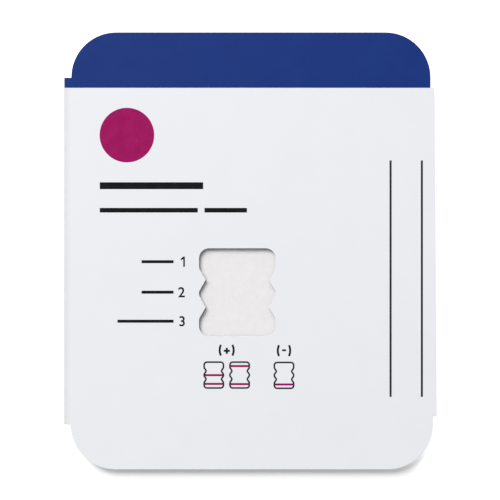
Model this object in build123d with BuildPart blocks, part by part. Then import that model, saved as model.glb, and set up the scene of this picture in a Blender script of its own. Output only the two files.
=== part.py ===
from build123d import *
from math import atan2, tan
import os

# A closed, book-style lateral flow test card, lying on its back. It is one sheet of folded board: the
# back panel lies on the surface, the front cover lies over it, and a narrow flat spine between two
# square folds joins them on the left. The test strip is laid up between the panels and is read through
# a window in the cover. Millimetres. The origin is at the middle of the card, on the surface that it
# lies on. +Z points out of the front face, +Y towards the taller top edge of the back panel, and +X
# away from the spine.

# The board
board = 0.6
card_height = 105.0
corner_radius = 10.8

# The spine: the rounds outside and inside its folds, and how far it reaches in below the cover's top
# edge, to where the panels' own corners start
fold_radius = 0.5
bead_radius = 0.35
spine_reach = 1.7

# The panels: widths from the outside of the spine, drops from the top edge
back_width = 88.2
cover_drop = 13.5
tab_height = 2.6
lip_top = 0.75
lip_bottom = 1.25
lip_corner = 0.35
lip_rise = 2.0

# The result window: three bays on each side, parted by pointed teeth
window_left = 32.55
window_drop = 38.5
window_width = 18.3
window_radius = 2.4
upper_bay = 4.75
middle_bay = 0.95
lower_bay = 4.15
tooth_base = 5.6
tooth_depth = 1.6
tooth_root_radius = 1.2
tooth_tip_radius = 0.25

# The clear film behind the window
film_thickness = 0.1
film_lap = 3.0
film_corner = 1.0

# The test strip
strip_lap = 1.85
membrane_lap = 4.0
backing_thickness = 0.25
membrane_thickness = 0.15
conjugate_length = 10.0
conjugate_thickness = 0.3
conjugate_overlap = 2.0
sample_length = 22.0
sample_thickness = 0.5
sample_overlap = 3.0
wick_length = 20.0
wick_thickness = 0.6
wick_overlap = 2.0
pad_ramp = 0.6
cover_clearance = 0.05

# The foam tape that holds the cover shut
adhesive_width = 7.5
adhesive_length = 56.7
adhesive_margin = 2.25
adhesive_drop = 17.4

# The gap between the panels holds the highest stack of the strip, the film and the clearance
conjugate_stack = backing_thickness + membrane_thickness + conjugate_thickness
sample_stack = backing_thickness + conjugate_thickness + sample_thickness
wick_stack = backing_thickness + membrane_thickness + wick_thickness
panel_gap = max(conjugate_stack, sample_stack, wick_stack) + film_thickness + cover_clearance
card_thickness = 2 * board + panel_gap

# Heights
cover_under = board + panel_gap
backing_top = board + backing_thickness
membrane_top = backing_top + membrane_thickness
conjugate_top = backing_top + conjugate_thickness

# Edges of the card, whose cover is widest at the lower end of its flared lip
spine_left = -(back_width + lip_bottom) / 2
panel_left = spine_left + spine_reach
back_right = spine_left + back_width
card_top = card_height / 2
card_bottom = -card_height / 2
cover_top = card_top - cover_drop
fold_bottom = card_bottom + corner_radius

# The window and, from it, the strip
window_height = upper_bay + middle_bay + lower_bay + 2 * tooth_base
window_x = spine_left + window_left + window_width / 2
window_y = cover_top - window_drop - window_height / 2
strip_width = window_width + 2 * strip_lap
strip_left = window_x - strip_width / 2
membrane_upper = window_y + window_height / 2 + membrane_lap
membrane_lower = window_y - window_height / 2 - membrane_lap
conjugate_lower = membrane_upper - conjugate_overlap
conjugate_upper = conjugate_lower + conjugate_length
sample_lower = conjugate_upper - sample_overlap
sample_upper = sample_lower + sample_length
wick_upper = membrane_lower + wick_overlap
wick_lower = wick_upper - wick_length


def window_face():
    """The scalloped window, centred on its own origin."""
    half_width = window_width / 2
    half_height = window_height / 2
    tooth_x = half_width - tooth_depth
    lower_tooth = -half_height + lower_bay + tooth_base / 2
    upper_tooth = half_height - upper_bay - tooth_base / 2
    # The round at a tooth's root ends before the middle of the bay beside it
    flank_turn = atan2(tooth_depth, tooth_base / 2)
    root_radius = min(tooth_root_radius, 0.45 * middle_bay / tan(flank_turn / 2))
    tooth_radii = [root_radius, tooth_tip_radius, root_radius]
    with BuildSketch(mode=Mode.PRIVATE) as face:
        with BuildLine():
            FilletPolyline(
                (0, -half_height),
                (half_width, -half_height),
                (half_width, lower_tooth - tooth_base / 2),
                (tooth_x, lower_tooth),
                (half_width, lower_tooth + tooth_base / 2),
                (half_width, upper_tooth - tooth_base / 2),
                (tooth_x, upper_tooth),
                (half_width, upper_tooth + tooth_base / 2),
                (half_width, half_height),
                (0, half_height),
                radius=[window_radius, *tooth_radii, *tooth_radii, window_radius],
            )
            mirror(about=Plane.YZ)
        make_face()
    return face.sketch


def lapped_pad(lap_end, overlap, free_end, lap_z, thickness):
    """A pad's side outline: it lies on the backing and steps up over the piece that it laps."""
    away = 1 if free_end > lap_end else -1
    step_top = lap_end + away * overlap
    step_foot = step_top + away * pad_ramp
    under = [(lap_end, lap_z), (step_top, lap_z), (step_foot, backing_top), (free_end, backing_top)]
    over = [(y, z + thickness) for y, z in reversed(under)]
    with BuildSketch(mode=Mode.PRIVATE) as side:
        with BuildLine():
            Polyline(*under, *over, close=True)
        make_face()
    return side.sketch


# One sheet of board: back panel, spine and front cover
with BuildPart() as folded_card:
    # Back panel: rounded corners, with a flat tab above the end of the spine
    with BuildSketch() as back_outline:
        with BuildLine():
            Polyline(
                (panel_left, card_bottom),
                (back_right, card_bottom),
                (back_right, card_top),
                (panel_left, card_top),
                close=True,
            )
        make_face()
        fillet(back_outline.vertices(), corner_radius)
        with Locations((spine_left, cover_top)):
            Rectangle(spine_reach, tab_height, align=Align.MIN)
    extrude(amount=board)

    # Front cover: square top corners, a free edge that flares and then steps in to its round corner
    with BuildSketch(Plane.XY.offset(cover_under)) as cover_outline:
        with BuildLine():
            Polyline(
                (panel_left, card_bottom),
                (back_right + lip_corner, card_bottom),
                (back_right + lip_corner, fold_bottom + lip_rise),
                (back_right + lip_bottom, fold_bottom + lip_rise),
                (back_right + lip_top, cover_top),
                (panel_left, cover_top),
                close=True,
            )
        make_face()
        fillet(cover_outline.vertices().group_by(Axis.Y)[0], corner_radius)
        with Locations((window_x, window_y)):
            add(window_face(), mode=Mode.SUBTRACT)
    extrude(amount=board)

    # Spine: a flat back between two square folds. The bead of each crease fills its fold's inner
    # corner, and each round ends before the middle of its wall
    outer_fold = min(fold_radius, 0.45 * card_thickness)
    inner_fold = min(bead_radius, 0.45 * panel_gap)
    inner_left = spine_left + board
    with BuildSketch(Plane.XZ.offset(-cover_top)):
        with BuildLine():
            FilletPolyline(
                (panel_left, 0),
                (spine_left, 0),
                (spine_left, card_thickness),
                (panel_left, card_thickness),
                radius=outer_fold,
            )
            Line((panel_left, card_thickness), (panel_left, cover_under))
            FilletPolyline(
                (panel_left, cover_under),
                (inner_left, cover_under),
                (inner_left, board),
                (panel_left, board),
                radius=inner_fold,
            )
            Line((panel_left, board), (panel_left, 0))
        make_face()
    extrude(amount=cover_top - fold_bottom)

folded_card.part.label = "folded_card"

# Clear film, stuck to the inner face of the cover all round the window
with BuildPart() as window_film:
    with BuildSketch(Plane.XY.offset(cover_under - film_thickness)):
        with Locations((window_x, window_y)):
            RectangleRounded(window_width + 2 * film_lap, window_height + 2 * film_lap, film_corner)
    extrude(amount=film_thickness)

window_film.part.label = "window_film"

# Plastic backing of the test strip, stuck to the back panel
with BuildPart() as strip_backing:
    with BuildSketch(Plane.XY.offset(board)):
        with Locations((strip_left, wick_lower)):
            Rectangle(strip_width, sample_upper - wick_lower, align=Align.MIN)
    extrude(amount=backing_thickness)

strip_backing.part.label = "strip_backing"

# Membrane, which fills the view through the window
with BuildPart() as membrane:
    with BuildSketch(Plane.XY.offset(backing_top)):
        with Locations((strip_left, membrane_lower)):
            Rectangle(strip_width, membrane_upper - membrane_lower, align=Align.MIN)
    extrude(amount=membrane_thickness)

membrane.part.label = "membrane"

# Conjugate pad, lapped over the upper end of the membrane
with BuildPart() as conjugate_pad:
    with BuildSketch(Plane.YZ.offset(strip_left)):
        add(
            lapped_pad(
                conjugate_lower, conjugate_overlap, conjugate_upper, membrane_top, conjugate_thickness
            )
        )
    extrude(amount=strip_width)

conjugate_pad.part.label = "conjugate_pad"

# Sample pad, lapped over the upper end of the conjugate pad
with BuildPart() as sample_pad:
    with BuildSketch(Plane.YZ.offset(strip_left)):
        add(lapped_pad(sample_lower, sample_overlap, sample_upper, conjugate_top, sample_thickness))
    extrude(amount=strip_width)

sample_pad.part.label = "sample_pad"

# Wick pad, lapped over the lower end of the membrane
with BuildPart() as wick_pad:
    with BuildSketch(Plane.YZ.offset(strip_left)):
        add(lapped_pad(wick_upper, wick_overlap, wick_lower, membrane_top, wick_thickness))
    extrude(amount=strip_width)

wick_pad.part.label = "wick_pad"

# Foam tape between the panels, near the free edge of the cover
with BuildPart() as adhesive_strip:
    with BuildSketch(Plane.XY.offset(board)):
        with Locations((back_right - adhesive_margin, cover_top - adhesive_drop)):
            Rectangle(adhesive_width, adhesive_length, align=Align.MAX)
    extrude(amount=panel_gap)

adhesive_strip.part.label = "adhesive_strip"

os.makedirs("parts", exist_ok=True)
export_step(folded_card.part, "parts/folded_card.step")
export_step(window_film.part, "parts/window_film.step")
export_step(strip_backing.part, "parts/strip_backing.step")
export_step(membrane.part, "parts/membrane.step")
export_step(conjugate_pad.part, "parts/conjugate_pad.step")
export_step(sample_pad.part, "parts/sample_pad.step")
export_step(wick_pad.part, "parts/wick_pad.step")
export_step(adhesive_strip.part, "parts/adhesive_strip.step")
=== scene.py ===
import math
import bmesh
import bpy
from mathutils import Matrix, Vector, noise


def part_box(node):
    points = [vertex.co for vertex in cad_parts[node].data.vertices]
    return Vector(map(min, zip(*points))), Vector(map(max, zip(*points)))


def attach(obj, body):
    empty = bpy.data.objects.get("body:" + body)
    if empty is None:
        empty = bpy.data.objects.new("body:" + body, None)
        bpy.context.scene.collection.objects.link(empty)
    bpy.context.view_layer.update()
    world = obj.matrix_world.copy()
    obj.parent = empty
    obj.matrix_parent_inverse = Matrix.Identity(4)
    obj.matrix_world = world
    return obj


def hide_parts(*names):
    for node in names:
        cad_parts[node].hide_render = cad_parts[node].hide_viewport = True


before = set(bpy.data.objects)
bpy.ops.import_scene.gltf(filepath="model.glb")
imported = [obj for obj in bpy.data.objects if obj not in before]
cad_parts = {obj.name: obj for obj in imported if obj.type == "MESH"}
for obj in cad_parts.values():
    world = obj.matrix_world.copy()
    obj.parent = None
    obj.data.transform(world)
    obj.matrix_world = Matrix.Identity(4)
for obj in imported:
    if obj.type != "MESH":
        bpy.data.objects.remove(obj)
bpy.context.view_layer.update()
print("frame loaded:", ", ".join(sorted(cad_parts)))

# Pieces are modelled in millimetres, in the card's own frame, and brought to metres when they are done
mm = 0.001
touching = 1e-4  # points this near to each other are one
onPlane = 1e-5   # points this near to a cut lie on it


def boxInMm(node):
    low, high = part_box(node)
    return low / mm, high / mm


cardLow, cardHigh = boxInMm("folded_card")
filmLow, filmHigh = boxInMm("window_film")
tapeLow, tapeHigh = boxInMm("adhesive_strip")


# Shader helpers. In the settings of a finish, a name that ends in Noise holds a noise's size in
# millimetres, its detail and often its roughness, and bump holds a depth in millimetres and a strength

def setSocket(tree, socket, value):
    if isinstance(value, bpy.types.NodeSocket):
        tree.links.new(value, socket)
    else:
        socket.default_value = value


def feed(tree, node, **inputs):
    # an input's name has _ for each space, and its value is a number, a colour or another node's output
    for key, value in inputs.items():
        setSocket(tree, node.inputs[key.replace("_", " ")], value)


def addNode(tree, kind, settings=None, **inputs):
    node = tree.nodes.new(kind)
    for key, value in (settings or {}).items():
        setattr(node, key, value)
    feed(tree, node, **inputs)
    return node


def newMaterial(name):
    material = bpy.data.materials.new(name)
    material.use_nodes = True
    tree = material.node_tree
    tree.nodes.clear()
    shader = addNode(tree, "ShaderNodeBsdfPrincipled")
    addNode(tree, "ShaderNodeOutputMaterial", Surface=shader.outputs["BSDF"])
    return material, tree, shader


def objectMm(tree, squeeze=(1, 1, 1)):
    # object coordinates in millimetres, which draw a pattern out along an axis where squeeze is under 1
    coords = addNode(tree, "ShaderNodeTexCoord").outputs["Object"]
    scale = [factor / mm for factor in squeeze]
    return addNode(tree, "ShaderNodeMapping", Vector=coords, Scale=scale).outputs["Vector"]


def cloud(tree, coords, size, detail, roughness=0.5):
    # soft noise from 0 to 1, with blobs of about size millimetres
    texture = addNode(tree, "ShaderNodeTexNoise", Vector=coords, Scale=1 / size, Detail=detail,
                      Roughness=roughness)
    return texture.outputs["Fac"]


def remap(tree, value, fromLow, fromHigh, toLow=0.0, toHigh=1.0):
    node = addNode(tree, "ShaderNodeMapRange", Value=value, From_Min=fromLow, From_Max=fromHigh,
                   To_Min=toLow, To_Max=toHigh)
    return node.outputs["Result"]


noiseSpan = (0.3, 0.7)  # noise seldom leaves this part of its range


def spread(tree, value, low=0.0, high=1.0):
    # noise stretched to run from low to high
    return remap(tree, value, *noiseSpan, low, high)


def calculate(tree, operation, first, second=0.0):
    node = addNode(tree, "ShaderNodeMath", {"operation": operation})
    setSocket(tree, node.inputs[0], first)
    setSocket(tree, node.inputs[1], second)
    return node.outputs["Value"]


mixSockets = {"share": 0, "first": 6, "second": 7, "mixed": 2}  # the mix node's own for colours


def mixColours(tree, share, first, second):
    node = addNode(tree, "ShaderNodeMix", {"data_type": "RGBA"})
    setSocket(tree, node.inputs[mixSockets["share"]], share)
    for key, colour in (("first", first), ("second", second)):
        opaque = colour if isinstance(colour, bpy.types.NodeSocket) else (*colour, 1.0)
        setSocket(tree, node.inputs[mixSockets[key]], opaque)
    return node.outputs[mixSockets["mixed"]]


def pointValue(tree, name):
    settings = {"attribute_type": "GEOMETRY", "attribute_name": name}
    return addNode(tree, "ShaderNodeAttribute", settings).outputs["Fac"]


def addBump(tree, shader, height, depth, strength):
    bump = addNode(tree, "ShaderNodeBump", Height=height, Distance=depth * mm, Strength=strength)
    feed(tree, shader, Normal=bump.outputs["Normal"])


# The card: cut flat as one blank, with its rims rounded by the die, and then folded

card = {
    "board": 0.6,             # thickness, millimetres as the rest
    "cornerRadius": 10.8,
    "backWidth": 88.2,        # from the outside of the spine
    "coverDrop": 13.5,        # from the top of the back panel
    "tabHeight": 2.6,
    "lipTop": 0.75,           # the cover's free edge stands this far past the back panel
    "lipBottom": 1.25,
    "lipCorner": 0.35,
    "lipRise": 2.0,
    "foldRadius": 0.5,        # outside the spine's folds
    "beadRadius": 0.35,       # inside them
    "spineReach": 1.7,        # the folded strip runs this far in from the outside of the spine
    "slit": 0.02,             # the cut that frees the tab from the spine
    "rimRound": 0.06,
    "rimSteps": 3,
    "wornRim": 0.2,           # how far wear reaches in from a rim
    "sideUp": 0.9,            # a face belongs to a flat side if its normal is this upright
    "levelUp": 0.999,         # and lies apart from the rounded rim if it is this upright
    "rimInk": 0.4,            # the print reaches down the rounded rim to faces that lean this much
    "cornerSteps": 40,
    "foldSteps": 14,
    "sharpAngle": math.radians(32),
}

window = {
    "filmLap": 3.0,           # the film reaches this far past the window
    "cornerRadius": 2.4,
    "upperBay": 4.75,
    "lowerBay": 4.15,
    "toothBase": 5.6,
    "toothDepth": 1.6,
    "toothRootRadius": 1.2,
    "toothTipRadius": 0.25,
    "cornerSteps": 12,
}

spineHalf = (cardHigh.z - cardLow.z) / 2
foldStart = spineHalf - card["foldRadius"]  # of the outer face, from the middle of the spine
foldEnd = foldStart + math.pi / 2 * card["foldRadius"]
spineLeft = cardLow.x
panelLeft = spineLeft + card["spineReach"]
backRight = spineLeft + card["backWidth"]
cardTop, cardBottom = cardHigh.y, cardLow.y
coverTop = cardTop - card["coverDrop"]
coverTopFace = cardHigh.z
foldBottom = cardBottom + card["cornerRadius"]
windowCentre = (filmLow + filmHigh) / 2
windowWidth = filmHigh.x - filmLow.x - 2 * window["filmLap"]
windowHeight = filmHigh.y - filmLow.y - 2 * window["filmLap"]


def coverU(x):
    # a place on the cover as it lies in the flat blank, whose u runs from the middle of the spine
    return x - spineLeft - card["foldRadius"] + foldEnd


def backU(x):
    return -coverU(x)


def roundedPolygon(bm, corners, steps):
    # corners holds x, y and the radius there, in order round the outline
    made = [bm.verts.new((x, y, 0)) for x, y, radius in corners]
    bm.faces.new(made)
    for vertex, (x, y, radius) in zip(made, corners):
        if radius:
            first, second = (edge.other_vert(vertex).co - vertex.co for edge in vertex.link_edges)
            tangent = radius / math.tan(first.angle(second) / 2)
            bmesh.ops.bevel(bm, geom=[vertex], offset=tangent, offset_type="OFFSET", segments=steps,
                            profile=0.5, affect="VERTICES", material=-1)
    bmesh.ops.remove_doubles(bm, verts=bm.verts[:], dist=touching)


def windowCorners(centreX, centreY, width, height, shape):
    # three bays on each side, parted by pointed teeth
    corners = []
    half = shape["toothBase"] / 2
    lowerTooth = -height / 2 + shape["lowerBay"] + half
    upperTooth = height / 2 - shape["upperBay"] - half
    for side in (1, -1):
        edge = side * width / 2
        tip = edge - side * shape["toothDepth"]
        run = [(edge, -height / 2, shape["cornerRadius"])]
        for tooth in (lowerTooth, upperTooth):
            run.append((edge, tooth - half, shape["toothRootRadius"]))
            run.append((tip, tooth, shape["toothTipRadius"]))
            run.append((edge, tooth + half, shape["toothRootRadius"]))
        run.append((edge, height / 2, shape["cornerRadius"]))
        corners += run if side > 0 else run[::-1]
    return [(centreX + x, centreY + y, radius) for x, y, radius in corners]


def extrudeBy(bm, faces, offset):
    made = bmesh.ops.extrude_face_region(bm, geom=faces)
    moved = [item for item in made["geom"] if isinstance(item, bmesh.types.BMVert)]
    bmesh.ops.translate(bm, vec=offset, verts=moved)
    bmesh.ops.recalc_face_normals(bm, faces=bm.faces[:])


def makeBlank():
    # the flat blank, outer face up at z 0, with the back panel at negative u
    radius = card["cornerRadius"]
    lipX = backRight + card["lipBottom"]
    cornerX = backRight + card["lipCorner"]
    outline = [
        (coverU(panelLeft), cardBottom, radius),
        (coverU(cornerX), cardBottom, radius),
        (coverU(cornerX), foldBottom + card["lipRise"], 0),
        (coverU(lipX), foldBottom + card["lipRise"], 0),
        (coverU(backRight + card["lipTop"]), coverTop, 0),
        (backU(panelLeft), coverTop, 0),
        (backU(panelLeft), coverTop + card["slit"], 0),
        (backU(spineLeft), coverTop + card["slit"], 0),
        (backU(spineLeft), coverTop + card["tabHeight"], 0),
        (backU(panelLeft), coverTop + card["tabHeight"], 0),
        (backU(panelLeft), cardTop, radius),
        (backU(backRight), cardTop, radius),
        (backU(backRight), cardBottom, radius),
        (backU(panelLeft), cardBottom, radius),
        (backU(panelLeft), foldBottom, 0),
        (coverU(panelLeft), foldBottom, 0),
    ]
    bm = bmesh.new()
    roundedPolygon(bm, outline, card["cornerSteps"])
    hole = windowCorners(coverU(windowCentre.x), windowCentre.y, windowWidth, windowHeight, window)
    roundedPolygon(bm, hole, window["cornerSteps"])
    bmesh.ops.delete(bm, geom=bm.faces[:], context="FACES_ONLY")
    bmesh.ops.triangle_fill(bm, use_beauty=True, edges=bm.edges[:])
    extrudeBy(bm, bm.faces[:], (0, 0, -card["board"]))
    return bm


def onFlatSide(face):
    return abs(face.normal.z) > card["sideUp"]


def roundRims(bm):
    sides = [face for face in bm.faces if onFlatSide(face)]
    bmesh.ops.inset_region(bm, faces=sides, thickness=card["wornRim"], use_even_offset=True)
    rims = [edge for edge in bm.edges if onFlatSide(edge.link_faces[0]) != onFlatSide(edge.link_faces[1])]
    bmesh.ops.bevel(bm, geom=rims, offset=card["rimRound"], offset_type="OFFSET", segments=card["rimSteps"],
                    profile=0.5, affect="EDGES", clamp_overlap=False, loop_slide=False, material=-1)


def markBoard(bm):
    # material 0 is the printed outside, 1 the printed inside and 2 the cut edge; worn is 1 along the rims
    worn = bm.verts.layers.float.new("worn")
    for face in bm.faces:
        printed = abs(face.normal.z) > card["rimInk"]
        outside = face.calc_center_median().z > -card["board"] / 2
        face.material_index = 2 if not printed else 0 if outside else 1
        if abs(face.normal.z) < card["levelUp"]:
            for vertex in face.verts:
                vertex[worn] = 1.0


def cutThrough(bm, place, normal):
    bmesh.ops.bisect_plane(bm, geom=bm.verts[:] + bm.edges[:] + bm.faces[:], dist=onPlane,
                           plane_co=place, plane_no=normal)


def cutFoldLines(bm):
    lines = [coverU(panelLeft)]
    for step in range(card["foldSteps"] + 1):
        lines.append(foldStart + (foldEnd - foldStart) * step / card["foldSteps"])
    for line in lines:
        for side in (1, -1):
            cutThrough(bm, (side * line, 0, 0), (1, 0, 0))


def foldedPlace(along, depth):
    # along is from the middle of the spine and depth from the outer face. The place is given as
    # far in from the outside of the spine, and as far up or down from the card's middle layer
    share = depth / card["board"]
    radius = card["foldRadius"] + share * (card["beadRadius"] - card["foldRadius"])
    reach = depth + radius
    if along < foldStart:
        return depth, (spineHalf - reach) * along / foldStart
    if along < foldEnd:
        turn = (along - foldStart) / card["foldRadius"]
        return reach - radius * math.cos(turn), spineHalf - reach + radius * math.sin(turn)
    if along < coverU(panelLeft):
        stretch = (along - foldEnd) / (coverU(panelLeft) - foldEnd)
        return reach + stretch * (card["spineReach"] - reach), spineHalf - depth
    return card["foldRadius"] + along - foldEnd, spineHalf - depth


def foldBlank(bm):
    # the tab past the slit stays flat. bend is 1 on the two folds, where the coat is strained and where
    # painted shade darkens the board
    bend = bm.verts.layers.float.new("bend")
    for vertex in bm.verts:
        u, y, level = vertex.co
        along = abs(u)
        onTab = u < 0 and y > coverTop + card["slit"] / 2
        if onTab:
            inward, away = card["foldRadius"] + along - foldEnd, spineHalf + level
        else:
            inward, away = foldedPlace(along, -level)
        side = 1 if u > 0 else -1
        vertex.co = (spineLeft + inward, y, spineHalf + side * away)
        onFold = not onTab and foldStart - touching < along < foldEnd + touching
        vertex[bend] = 1.0 if onFold else 0.0


flatUp = 0.99999  # a face is flat if its normal is this upright


def smoothFaces(bm, sharpAngle):
    # large flat faces stay flat, and the rest is smooth up to its sharp edges
    bm.normal_update()
    for face in bm.faces:
        face.smooth = abs(face.normal.z) < flatUp
    for edge in bm.edges:
        if len(edge.link_faces) == 2:
            edge.smooth = edge.calc_face_angle(0.0) < sharpAngle


def finishPiece(name, bm, materials, nodes=()):
    bmesh.ops.scale(bm, vec=(mm, mm, mm), verts=bm.verts[:])
    mesh = bpy.data.meshes.new(name)
    bm.to_mesh(mesh)
    bm.free()
    for material in materials:
        mesh.materials.append(material)
    piece = bpy.data.objects.new(name, mesh)
    bpy.context.scene.collection.objects.link(piece)
    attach(piece, "root")
    for node in nodes:
        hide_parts(node)
    print(name, "done:", len(mesh.polygons), "faces")


# Board finishes

coat = {
    "white": (0.852, 0.868, 0.902),
    "whiteDrift": (0.840, 0.856, 0.890),
    "blue": (0.0058, 0.0325, 0.194),
    "blueDrift": (0.0048, 0.0285, 0.180),
    "driftNoise": (7.0, 3.0),
    "varnish": 0.12,            # specular level, low because the print is almost matt
    "rough": (0.46, 0.60),
    "peelNoise": (0.55, 2.0),   # the varnish dries with an orange peel
    "peelShare": 1.5,           # of the relief, for each share of grain
    "grainNoise": (0.11, 3.0),
    "bump": (0.004, 0.5),
    "fibre": (0.66, 0.66, 0.66),
    "fibreRough": 0.9,
    "scuffNoise": (0.22, 4.0, 0.65),
    "rimScuffs": (0.62, 0.74),  # the noise at which a rim's fibre starts to show, and shows in full
    "bendStrainAndShade": (0.275, 0.55),  # how much of the fibre's tone shows on the folds: partly coat strained by the fold, partly painted shade that keeps the folds' rounded faces from reading brighter under the lamp
}


def makeCoat(name, colour, drift):
    # clay-coated board under a print varnish: an even colour that drifts a little, scuffs down to fibre,
    # and painted shade on the folds
    material, tree, shader = newMaterial(name)
    coords = objectMm(tree)
    tint = mixColours(tree, spread(tree, cloud(tree, coords, *coat["driftNoise"])), colour, drift)
    scuff = cloud(tree, coords, *coat["scuffNoise"])
    onRim = remap(tree, calculate(tree, "MULTIPLY", pointValue(tree, "worn"), scuff), *coat["rimScuffs"])
    # painted shade on the folds: they always take some of the fibre's darker tone, more where the strained
    # coat shows
    onBend = calculate(tree, "MULTIPLY", pointValue(tree, "bend"), spread(tree, scuff, *coat["bendStrainAndShade"]))
    fibreAndFoldShade = calculate(tree, "MAXIMUM", onRim, onBend)
    peel = cloud(tree, coords, *coat["peelNoise"])
    bareRough = calculate(tree, "MULTIPLY", fibreAndFoldShade, coat["fibreRough"])
    rough = calculate(tree, "MAXIMUM", spread(tree, peel, *coat["rough"]), bareRough)
    feed(tree, shader, Base_Color=mixColours(tree, fibreAndFoldShade, tint, coat["fibre"]), Roughness=rough,
         Specular_IOR_Level=coat["varnish"])
    grain = cloud(tree, coords, *coat["grainNoise"])
    relief = calculate(tree, "ADD", grain, calculate(tree, "MULTIPLY", peel, coat["peelShare"]))
    addBump(tree, shader, relief, *coat["bump"])
    return material


core = {
    "fibre": (0.80, 0.79, 0.76),
    "ply": (0.66, 0.65, 0.61),
    "plyNoise": (0.09, 3.0, 0.6),
    "plySqueeze": (0.09, 0.09, 1.0),  # the plies run along the board
    "plySpan": (0.35, 0.65),
    "fibreNoise": (0.09, 4.0, 0.7),
    "rough": (0.75, 0.95),
    "bump": (0.03, 0.6),
}


def makeCore():
    # the cut edge shows the board's plies, with short fibres torn along them
    material, tree, shader = newMaterial("cutEdge")
    plies = cloud(tree, objectMm(tree, core["plySqueeze"]), *core["plyNoise"])
    fibres = cloud(tree, objectMm(tree), *core["fibreNoise"])
    tone = mixColours(tree, remap(tree, plies, *core["plySpan"]), core["ply"], core["fibre"])
    feed(tree, shader, Base_Color=tone, Roughness=spread(tree, fibres, *core["rough"]))
    addBump(tree, shader, calculate(tree, "ADD", plies, fibres), *core["bump"])
    return material


whiteCoat = makeCoat("whiteCoat", coat["white"], coat["whiteDrift"])
blueCoat = makeCoat("bluePrint", coat["blue"], coat["blueDrift"])
cutEdge = makeCore()

blank = makeBlank()
roundRims(blank)
markBoard(blank)
cutFoldLines(blank)
foldBlank(blank)
smoothFaces(blank, card["sharpAngle"])
finishPiece("board_card", blank, [whiteCoat, blueCoat, cutEdge], ["folded_card"])


# Print on the cover: fields of colour and simple shapes, each a thin film of ink

ink = {
    "thickness": 0.012,       # millimetres, as the rest
    "underThickness": 0.009,  # of an ink that another one is printed over
    "sunk": 0.004,            # into the cover, so that no face lies on another
    "round": 0.08,            # at the corners of a bar
    "roundSteps": 5,
    "arcSteps": 16,
    "discSteps": 96,
    "varnish": 0.06,
    "driftNoise": (2.5, 3.0),
    "driftTimes": 1.12,       # a tone drifts up to this many times its value
    "driftMore": 0.004,       # and this much more
    "pinholeNoise": (0.06, 2.0, 0.6),
    "pinholeSpan": (0.74, 0.80),
    "pinholeShare": 0.6,      # how much of the board's white shows in one
    "glossNoise": (0.3, 2.0),
    "rough": (0.32, 0.46),
    "grainNoise": (0.12, 3.0),
    "bump": (0.003, 0.5),
}

inkTones = {
    "black": (0.003, 0.003, 0.004),
    "grey": (0.018, 0.018, 0.022),
    "magenta": (0.316, 0.005, 0.100),
}


def makeInk(name, colour):
    # a solid print: even, with a slight drift, pinholes and the sheen of its varnish
    material, tree, shader = newMaterial(name)
    coords = objectMm(tree)
    lighter = tuple(channel * ink["driftTimes"] + ink["driftMore"] for channel in colour)
    tint = mixColours(tree, spread(tree, cloud(tree, coords, *ink["driftNoise"])), colour, lighter)
    specks = cloud(tree, coords, *ink["pinholeNoise"])
    pinholes = remap(tree, specks, *ink["pinholeSpan"], 0.0, ink["pinholeShare"])
    gloss = cloud(tree, coords, *ink["glossNoise"])
    feed(tree, shader, Base_Color=mixColours(tree, pinholes, tint, coat["white"]),
         Roughness=spread(tree, gloss, *ink["rough"]), Specular_IOR_Level=ink["varnish"])
    addBump(tree, shader, cloud(tree, coords, *ink["grainNoise"]), *ink["bump"])
    return material


inks = {name: makeInk(name + "Ink", colour) for name, colour in inkTones.items()}


def joinPart(bm, part):
    mesh = bpy.data.meshes.new("part")
    part.to_mesh(mesh)
    part.free()
    bm.from_mesh(mesh)
    bpy.data.meshes.remove(mesh)


def addOutline(bm, corners):
    part = bmesh.new()
    roundedPolygon(part, corners, ink["roundSteps"])
    joinPart(bm, part)


def addBar(bm, left, right, top, bottom, radius):
    corners = [(left, bottom), (right, bottom), (right, top), (left, top)]
    addOutline(bm, [(x, y, radius) for x, y in corners])


def addArcBar(bm, centreX, centreY, radius, thickness, fromAngle, toAngle):
    # part of a ring, spun from one short edge
    part = bmesh.new()
    ends = []
    for reach in (radius - thickness / 2, radius + thickness / 2):
        place = (centreX + reach * math.cos(fromAngle), centreY + reach * math.sin(fromAngle), 0)
        ends.append(part.verts.new(place))
    edge = part.edges.new(ends)
    bmesh.ops.spin(part, geom=[edge, *ends], cent=(centreX, centreY, 0), axis=(0, 0, 1),
                   angle=toAngle - fromAngle, steps=ink["arcSteps"], use_duplicate=False)
    joinPart(bm, part)


def addDisc(bm, centreX, centreY, radius):
    part = bmesh.new()
    bmesh.ops.create_circle(part, cap_ends=True, segments=ink["discSteps"], radius=radius)
    bmesh.ops.translate(part, vec=(centreX, centreY, 0), verts=part.verts[:])
    joinPart(bm, part)


def addBracket(bm, left, right, top, bottom, stroke, opensRight):
    # a round bracket, from the box that it fills
    sagitta = right - left - stroke
    half = (top - bottom) / 2
    radius = (half**2 + sagitta**2) / (2 * sagitta)
    turn = math.asin(half / radius)
    centreX = left + stroke / 2 + radius if opensRight else right - stroke / 2 - radius
    middle = math.pi if opensRight else 0.0
    addArcBar(bm, centreX, (top + bottom) / 2, radius, stroke, middle - turn, middle + turn)


def addPlus(bm, centreX, centreY, reach, stroke):
    half, arm = stroke / 2, reach / 2
    quarter = [(half, half), (half, arm), (-half, arm)]
    corners = []
    for cosine, sine in ((1, 0), (0, 1), (-1, 0), (0, -1)):
        turned = [(x * cosine - y * sine, x * sine + y * cosine) for x, y in quarter]
        corners += [(centreX + x, centreY + y, 0) for x, y in turned]
    addOutline(bm, corners)


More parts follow.
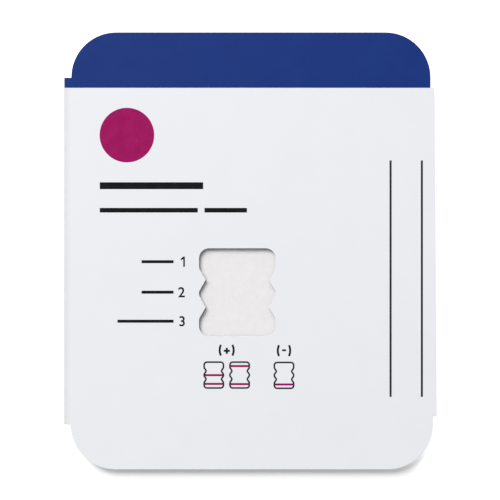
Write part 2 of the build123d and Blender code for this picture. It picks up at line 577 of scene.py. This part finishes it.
def addFigure(bm, figure, right, bottom, shape):
    # a plain figure in the program's own typeface, placed by its right side and its foot
    letters = bpy.data.curves.new("figure", "FONT")
    letters.body = figure
    letters.offset = shape["bolder"]
    holder = bpy.data.objects.new("figure", letters)
    mesh = bpy.data.meshes.new_from_object(holder)
    part = bmesh.new()
    part.from_mesh(mesh)
    bpy.data.objects.remove(holder)
    bpy.data.curves.remove(letters)
    bpy.data.meshes.remove(mesh)
    low = [min(vertex.co[axis] for vertex in part.verts) for axis in (0, 1)]
    high = [max(vertex.co[axis] for vertex in part.verts) for axis in (0, 1)]
    scale = shape["height"] / (high[1] - low[1])
    bmesh.ops.translate(part, vec=(-high[0], -low[1], 0), verts=part.verts[:])
    bmesh.ops.scale(part, vec=(scale, scale, 1), verts=part.verts[:])
    bmesh.ops.translate(part, vec=(right, bottom, 0), verts=part.verts[:])
    joinPart(bm, part)


def addOne(bm, right, bottom, shape):
    # a one with a flag, which the typeface's own lacks
    stroke, reach, drop = shape["stroke"], shape["flagReach"], shape["flagDrop"]
    top = bottom + shape["height"]
    corners = [
        (right - stroke, bottom),
        (right, bottom),
        (right, top),
        (right - stroke, top),
        (right - reach, top - drop),
        (right - reach, top - drop - stroke),
        (right - stroke, top - stroke - drop * stroke / reach),
    ]
    addOutline(bm, [(x, y, 0) for x, y in corners])


def addWindowFrame(bm, centreX, centreY, shape):
    # a small drawing of the window, as a line round its outline
    part = bmesh.new()
    corners = windowCorners(centreX, centreY, shape["width"], shape["height"], shape)
    roundedPolygon(part, corners, ink["roundSteps"])
    inner = part.faces[:]
    bmesh.ops.inset_region(part, faces=inner, thickness=shape["stroke"], use_boundary=True,
                           use_even_offset=True)
    bmesh.ops.delete(part, geom=inner, context="FACES")
    joinPart(bm, part)


def finishInk(name, bm, tone, thickness=ink["thickness"]):
    # the flat shapes get their thickness and lie on the cover
    extrudeBy(bm, bm.faces[:], (0, 0, thickness))
    bmesh.ops.translate(bm, vec=(0, 0, coverTopFace - ink["sunk"]), verts=bm.verts[:])
    finishPiece(name, bm, [inks[tone]])


# A disc of colour
emblem = {"x": -29.49, "y": 27.66, "radius": 6.55}
bm = bmesh.new()
addDisc(bm, emblem["x"], emblem["y"], emblem["radius"])
finishInk("emblem_print", bm, "magenta")

# A heavy rule, and under it a light one in two lengths
heading = {
    "bars": (
        (-36.0, -11.2, 16.35, 14.7),  # left, right, top, bottom
        (-36.0, -12.5, 10.2, 9.1),
        (-10.9, -0.7, 10.2, 9.1),
    ),
}
bm = bmesh.new()
for left, right, top, bottom in heading["bars"]:
    addBar(bm, left, right, top, bottom, ink["round"])
finishInk("heading_print", bm, "black")

# One label beside each bay of the window: a bar and a plain figure
labels = {
    "right": -15.6,
    "height": 2.47,
    "stroke": 0.38,
    "bolder": 0.016,          # what thickens the typeface's strokes, as a share of its size
    "flagReach": 1.0,
    "flagDrop": 0.55,
    "bar": 0.72,
    "barRight": -18.3,
    "rows": (
        ("1", -25.98, -3.93),  # figure, left, bottom
        ("2", -25.98, -11.24),
        ("3", -31.77, -18.2),
    ),
}
bm = bmesh.new()
for figure, left, bottom in labels["rows"]:
    if figure == "1":
        addOne(bm, labels["right"], bottom, labels)
    else:
        addFigure(bm, figure, labels["right"], bottom, labels)
    barTop = bottom + (labels["height"] + labels["bar"]) / 2
    addBar(bm, left, labels["barRight"], barTop, barTop - labels["bar"], ink["round"])
finishInk("labels_print", bm, "black")

# The signs over the small windows
signs = {
    "stroke": 0.50,
    "bracket": 0.80,
    "plus": (-5.54, -24.06),
    "plusReach": 1.46,
    "minus": (8.20, -23.93),
    "minusReach": 0.98,
    "minusStroke": 0.44,
    "pairs": (
        (-7.50, -3.65, -22.62, -25.21),  # left, right, top, bottom
        (6.43, 9.90, -22.71, -25.33),
    ),
}
bm = bmesh.new()
for left, right, top, bottom in signs["pairs"]:
    addBracket(bm, left, left + signs["bracket"], top, bottom, signs["stroke"], True)
    addBracket(bm, right - signs["bracket"], right, top, bottom, signs["stroke"], False)
addPlus(bm, *signs["plus"], signs["plusReach"], signs["stroke"])
minusX, minusY = signs["minus"]
half, lift = signs["minusReach"] / 2, signs["minusStroke"] / 2
addBar(bm, minusX - half, minusX + half, minusY + lift, minusY - lift, ink["round"])
finishInk("signs_print", bm, "black")

# The small windows that show how a result reads
miniWindow = {
    "width": 5.03,
    "height": 6.6,
    "stroke": 0.40,
    "cornerRadius": 0.85,
    "upperBay": 1.62,
    "lowerBay": 1.62,
    "toothBase": 1.4,
    "toothDepth": 0.5,
    "toothRootRadius": 0.5,
    "toothTipRadius": 0.2,
    "line": 0.52,
    "drawings": (
        (-8.66, -29.87, (-29.90, -31.99)),  # centre, and the heights of its result lines
        (-2.47, -29.87, (-27.72, -32.04)),
        (8.17, -29.95, (-32.13,)),
    ),
}
frames = bmesh.new()
lines = bmesh.new()
half, lift = (miniWindow["width"] - miniWindow["stroke"]) / 2, miniWindow["line"] / 2
for centreX, centreY, marks in miniWindow["drawings"]:
    addWindowFrame(frames, centreX, centreY, miniWindow)
    for markY in marks:
        addBar(lines, centreX - half, centreX + half, markY + lift, markY - lift, 0)
finishInk("small_windows_print", frames, "grey")
finishInk("result_lines_print", lines, "magenta", ink["underThickness"])

# The two long lines over the foam tape
tapeLines = {"width": 0.50}
bm = bmesh.new()
for lineX in (tapeLow.x, tapeHigh.x):
    addBar(bm, lineX - tapeLines["width"] / 2, lineX + tapeLines["width"] / 2, tapeHigh.y, tapeLow.y, 0)
finishInk("tape_lines_print", bm, "grey")


# Strip, film and tape finishes

sheetStock = {
    "driftDetail": 4.0,
    "grainDetail": 4.0,
    "grainRoughness": 0.65,
    "bumpStrength": 0.6,
}

sheets = {
    "membrane": {"tone": (0.875, 0.858, 0.862), "drift": (0.870, 0.853, 0.858), "driftSize": 5.0,
                 "grain": 0.07, "depth": 0.012, "rough": (0.85, 0.97)},
    "strip_backing": {"tone": (0.85, 0.85, 0.84), "drift": (0.83, 0.83, 0.82), "driftSize": 8.0,
                      "grain": 0.4, "depth": 0.003, "rough": (0.35, 0.5)},
    "conjugate_pad": {"tone": (0.78, 0.60, 0.66), "drift": (0.72, 0.50, 0.58), "driftSize": 1.5,
                      "grain": 0.09, "depth": 0.05, "rough": (0.85, 0.97)},
    "sample_pad": {"tone": (0.86, 0.85, 0.82), "drift": (0.80, 0.79, 0.75), "driftSize": 1.2,
                   "grain": 0.10, "depth": 0.05, "rough": (0.85, 0.97)},
    "wick_pad": {"tone": (0.87, 0.87, 0.85), "drift": (0.81, 0.81, 0.78), "driftSize": 1.2,
                 "grain": 0.12, "depth": 0.06, "rough": (0.85, 0.97)},
    "adhesive_strip": {"tone": (0.83, 0.83, 0.80), "drift": (0.76, 0.76, 0.73), "driftSize": 0.5,
                       "grain": 0.12, "depth": 0.05, "rough": (0.6, 0.85)},
}


def makeSheet(name, sheet):
    # a porous, fibrous or foamed sheet
    material, tree, shader = newMaterial(name)
    coords = objectMm(tree)
    drift = spread(tree, cloud(tree, coords, sheet["driftSize"], sheetStock["driftDetail"]))
    grain = cloud(tree, coords, sheet["grain"], sheetStock["grainDetail"], sheetStock["grainRoughness"])
    feed(tree, shader, Base_Color=mixColours(tree, drift, sheet["tone"], sheet["drift"]),
         Roughness=spread(tree, grain, *sheet["rough"]))
    addBump(tree, shader, grain, sheet["depth"], sheetStock["bumpStrength"])
    return material


film = {
    "tone": (0.95, 0.95, 0.95, 1.0),
    "refraction": 1.5,
    "haze": (0.06, 0.10),     # alpha
    "hazeNoise": (2.0, 3.0),
    "rough": (0.05, 0.10),
    "roughNoise": (1.0, 2.0),
    "waveNoise": (4.0, 1.0),
    "bump": (0.004, 0.5),
}


def makeFilm():
    material, tree, shader = newMaterial("clearFilm")
    coords = objectMm(tree)
    haze = spread(tree, cloud(tree, coords, *film["hazeNoise"]), *film["haze"])
    rough = spread(tree, cloud(tree, coords, *film["roughNoise"]), *film["rough"])
    feed(tree, shader, Base_Color=film["tone"], IOR=film["refraction"], Alpha=haze, Roughness=rough)
    addBump(tree, shader, cloud(tree, coords, *film["waveNoise"]), *film["bump"])
    return material


def setMaterial(node, material):
    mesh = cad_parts[node].data
    mesh.materials.clear()
    mesh.materials.append(material)
    print(node, "finished")


sheetFinishes = {node: makeSheet(node + "_finish", sheet) for node, sheet in sheets.items()}
setMaterial("membrane", sheetFinishes["membrane"])
setMaterial("strip_backing", sheetFinishes["strip_backing"])
setMaterial("window_film", makeFilm())


# The strip's pads and the foam tape, cut from soft stock

softCut = {
    "round": 0.07,            # along the edges, millimetres as the rest
    "roundSteps": 2,
    "cell": 0.5,              # the faces are parted this finely, to sink unevenly
    "sink": 0.035,            # how far the fibres fall back from the cut
    "lump": 1.3,              # the size of the unevenness
    "sharpAngle": math.radians(60),
}

pads = {
    "ramp": 0.6,              # how long a pad takes to step up over the piece that it laps
    "stock": {                # runs is 1 if the pad runs up the card from its lap, and -1 if down
        "conjugate_pad": {"slot": "conjugate", "thickness": 0.3, "overlap": 2.0, "runs": 1},
        "sample_pad": {"slot": "sample", "thickness": 0.5, "overlap": 3.0, "runs": 1},
        "wick_pad": {"slot": "wick", "thickness": 0.6, "overlap": 2.0, "runs": -1},
    },
}


def cutAcross(bm, axis, low, high):
    count = math.ceil((high - low) / softCut["cell"])
    for step in range(1, count):
        cutThrough(bm, axis * (low + (high - low) * step / count), axis)


def cutSoftPiece(profile, left, right):
    # cut square from its side outline, rounded along its edges, and sunk a little unevenly
    bm = bmesh.new()
    side = bm.faces.new([bm.verts.new((left, y, z)) for y, z in profile])
    extrudeBy(bm, [side], (right - left, 0, 0))
    sharp = [edge for edge in bm.edges if edge.calc_face_angle(0.0) > softCut["sharpAngle"]]
    bmesh.ops.bevel(bm, geom=sharp, offset=softCut["round"], offset_type="OFFSET",
                    segments=softCut["roundSteps"], profile=0.5, affect="EDGES", material=-1)
    cutAcross(bm, Vector((1, 0, 0)), left, right)
    places = [y for y, z in profile]
    cutAcross(bm, Vector((0, 1, 0)), min(places), max(places))
    bm.normal_update()
    for vertex in bm.verts:
        lump = 0.5 + 0.5 * noise.noise(vertex.co / softCut["lump"])
        vertex.co -= vertex.normal * softCut["sink"] * min(1.0, max(0.0, lump))
    smoothFaces(bm, softCut["sharpAngle"])
    return bm


def padProfile(low, high, pad):
    # a pad lies on the backing and steps up over the piece that it laps
    start, end = (low.y, high.y) if pad["runs"] > 0 else (high.y, low.y)
    stepTop = start + pad["runs"] * pad["overlap"]
    stepFoot = stepTop + pad["runs"] * pads["ramp"]
    lapZ = high.z - pad["thickness"]
    under = [(start, lapZ), (stepTop, lapZ), (stepFoot, low.z), (end, low.z)]
    return under + [(y, z + pad["thickness"]) for y, z in reversed(under)]


for node, pad in pads["stock"].items():
    low, high = boxInMm(node)
    bm = cutSoftPiece(padProfile(low, high, pad), low.x, high.x)
    finishPiece(node + "_fibre", bm, [sheetFinishes[node]], [node])

tapeProfile = [
    (tapeLow.y, tapeLow.z),
    (tapeHigh.y, tapeLow.z),
    (tapeHigh.y, tapeHigh.z),
    (tapeLow.y, tapeHigh.z),
]
bm = cutSoftPiece(tapeProfile, tapeLow.x, tapeHigh.x)
finishPiece("tape_foam", bm, [sheetFinishes["adhesive_strip"]], ["adhesive_strip"])


# Floor, light and camera

studio = {
    "floorSize": 3.0,         # metres, as its drop and the lamp's size and distance
    "floorDrop": 0.00002,
    "floorTone": 0.77,
    "floorLift": 0.29,        # added only to what is seen, so that the unshaded floor is white
    "liftNear": 60.0,         # millimetres, as the next five: the lift grows from here
    "liftFar": 250.0,
    "sideFrom": 30.0,         # beside the card a painted glow whitens the floor over the card's shadow, and below it the shadow stays
    "sideTo": 43.0,
    "sideLow": -53.5,
    "sideHigh": -48.5,
    "sidePaintedLight": 0.6,
    "skyLight": 0.22,
    "lampPower": 43.9,
    "lampSize": 1.0,
    "lampDistance": 2.1,
    "lampTowards": (-0.40, 0.62, 1.0),
}
pureWhite = (1.0, 1.0, 1.0, 1.0)


def seenRays(tree):
    # 1 for what the camera, a gloss or a clear film sees, and 0 for what only lights the card
    rays = addNode(tree, "ShaderNodeLightPath").outputs
    mirrored = calculate(tree, "MAXIMUM", rays["Is Glossy Ray"], rays["Is Transmission Ray"])
    return calculate(tree, "MAXIMUM", rays["Is Camera Ray"], mirrored)


def floorLift(tree):
    # how much white the camera sees on top of the lit floor: more far away, and beside the card, where it
    # is painted light over the card's cast shadow
    coords = objectMm(tree)
    fromMiddle = addNode(tree, "ShaderNodeVectorMath", {"operation": "LENGTH"}, Vector=coords)
    distance = fromMiddle.outputs["Value"]
    far = remap(tree, distance, studio["liftNear"], studio["liftFar"], studio["floorLift"], 1.0)
    place = addNode(tree, "ShaderNodeSeparateXYZ", Vector=coords).outputs
    # painted light beside the card, which whitens the card's cast shadow there
    beside = remap(tree, calculate(tree, "ABSOLUTE", place["X"]), studio["sideFrom"], studio["sideTo"])
    above = remap(tree, place["Y"], studio["sideLow"], studio["sideHigh"])
    side = calculate(tree, "MULTIPLY", calculate(tree, "MULTIPLY", beside, above), studio["sidePaintedLight"])
    return calculate(tree, "ADD", far, side)


def makeFloor():
    bm = bmesh.new()
    bmesh.ops.create_grid(bm, x_segments=1, y_segments=1, size=studio["floorSize"] / 2)
    bmesh.ops.translate(bm, vec=(0, 0, -studio["floorDrop"]), verts=bm.verts[:])
    mesh = bpy.data.meshes.new("floor")
    bm.to_mesh(mesh)
    bm.free()
    floor = bpy.data.objects.new("floor", mesh)
    bpy.context.scene.collection.objects.link(floor)
    material = bpy.data.materials.new("floorWhite")
    material.use_nodes = True
    tree = material.node_tree
    tree.nodes.clear()
    tone = studio["floorTone"]
    matt = addNode(tree, "ShaderNodeBsdfDiffuse", Color=(tone, tone, tone, 1.0))
    lift = calculate(tree, "MULTIPLY", seenRays(tree), floorLift(tree))
    glow = addNode(tree, "ShaderNodeEmission", Color=pureWhite, Strength=lift)
    both = addNode(tree, "ShaderNodeAddShader")
    setSocket(tree, both.inputs[0], matt.outputs["BSDF"])
    setSocket(tree, both.inputs[1], glow.outputs["Emission"])
    addNode(tree, "ShaderNodeOutputMaterial", Surface=both.outputs["Shader"])
    mesh.materials.append(material)


def makeWorld():
    world = bpy.data.worlds.new("studioWhite")
    bpy.context.scene.world = world
    world.use_nodes = True
    tree = world.node_tree
    tree.nodes.clear()
    strength = remap(tree, seenRays(tree), 0.0, 1.0, studio["skyLight"], 1.0)
    sky = addNode(tree, "ShaderNodeBackground", Color=pureWhite, Strength=strength)
    addNode(tree, "ShaderNodeOutputWorld", Surface=sky.outputs["Background"])


def makeLamp():
    light = bpy.data.lights.new("softbox", "AREA")
    light.shape = "SQUARE"
    light.size = studio["lampSize"]
    light.energy = studio["lampPower"]
    lamp = bpy.data.objects.new("softbox", light)
    towards = Vector(studio["lampTowards"]).normalized()
    lamp.location = towards * studio["lampDistance"]
    lamp.rotation_euler = towards.to_track_quat("Z", "Y").to_euler()
    bpy.context.scene.collection.objects.link(lamp)


view = {
    "x": 0.02 * mm,
    "y": 0.11 * mm,
    "height": 425 * mm,
    "frameWidth": 119.88 * mm,  # what the picture spans at the cover's face
}


def makeCamera():
    lens = bpy.data.cameras.new("camera")
    fromCover = view["height"] - coverTopFace * mm
    lens.lens = lens.sensor_width * fromCover / view["frameWidth"]
    camera = bpy.data.objects.new("camera", lens)
    camera.location = (view["x"], view["y"], view["height"])
    bpy.context.scene.collection.objects.link(camera)
    bpy.context.scene.camera = camera


makeFloor()
makeWorld()
makeLamp()
makeCamera()
bpy.context.scene.view_settings.view_transform = "Standard"
print("floor, light and camera ready")
